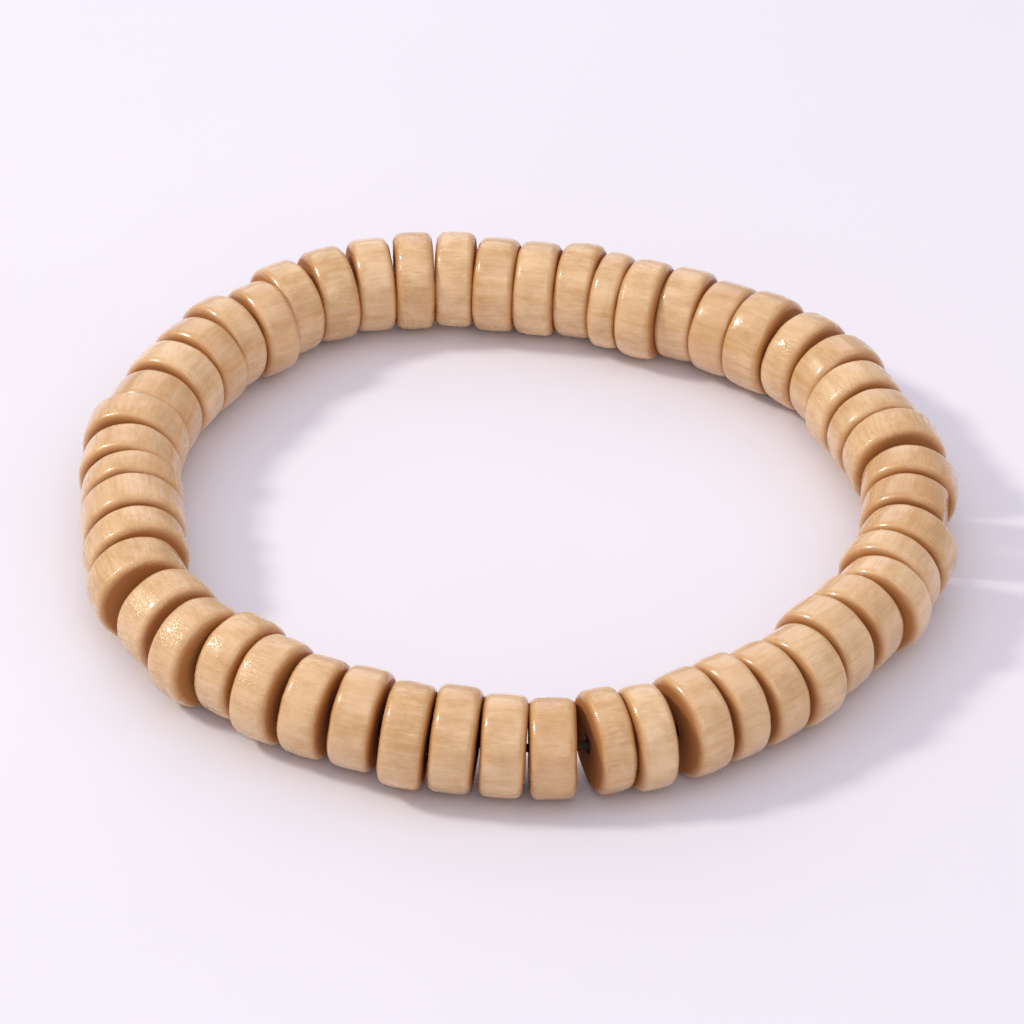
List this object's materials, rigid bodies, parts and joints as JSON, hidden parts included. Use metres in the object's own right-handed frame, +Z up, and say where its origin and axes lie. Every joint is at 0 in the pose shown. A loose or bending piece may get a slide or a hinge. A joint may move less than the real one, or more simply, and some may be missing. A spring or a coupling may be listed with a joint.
{
  "type": "wooden disc bead bracelet",
  "caption": "Stretch bracelet: a closed ring of flat, rounded-edge wooden disc beads threaded side by side on a hidden elastic cord, lying flat.",
  "frame": {"origin": "on the table under the middle of the bracelet, which lies flat: the middle of the bottom of its bounding box", "axes": "+Z up out of the table and along the way a wrist goes in, +X to the right in the picture, +Y away from the viewer"},
  "size_m": [0.0718, 0.0716, 0.0087],
  "materials": {
    "lacquered_wood": "pale honey wood under clear gloss lacquer",
    "brown_elastic": "smooth, satin, dark brown"
  },
  "bodies": {
    "root": {"wood_beads": "lacquered_wood", "elastic_cord": "brown_elastic"}
  },
  "joints": []
}
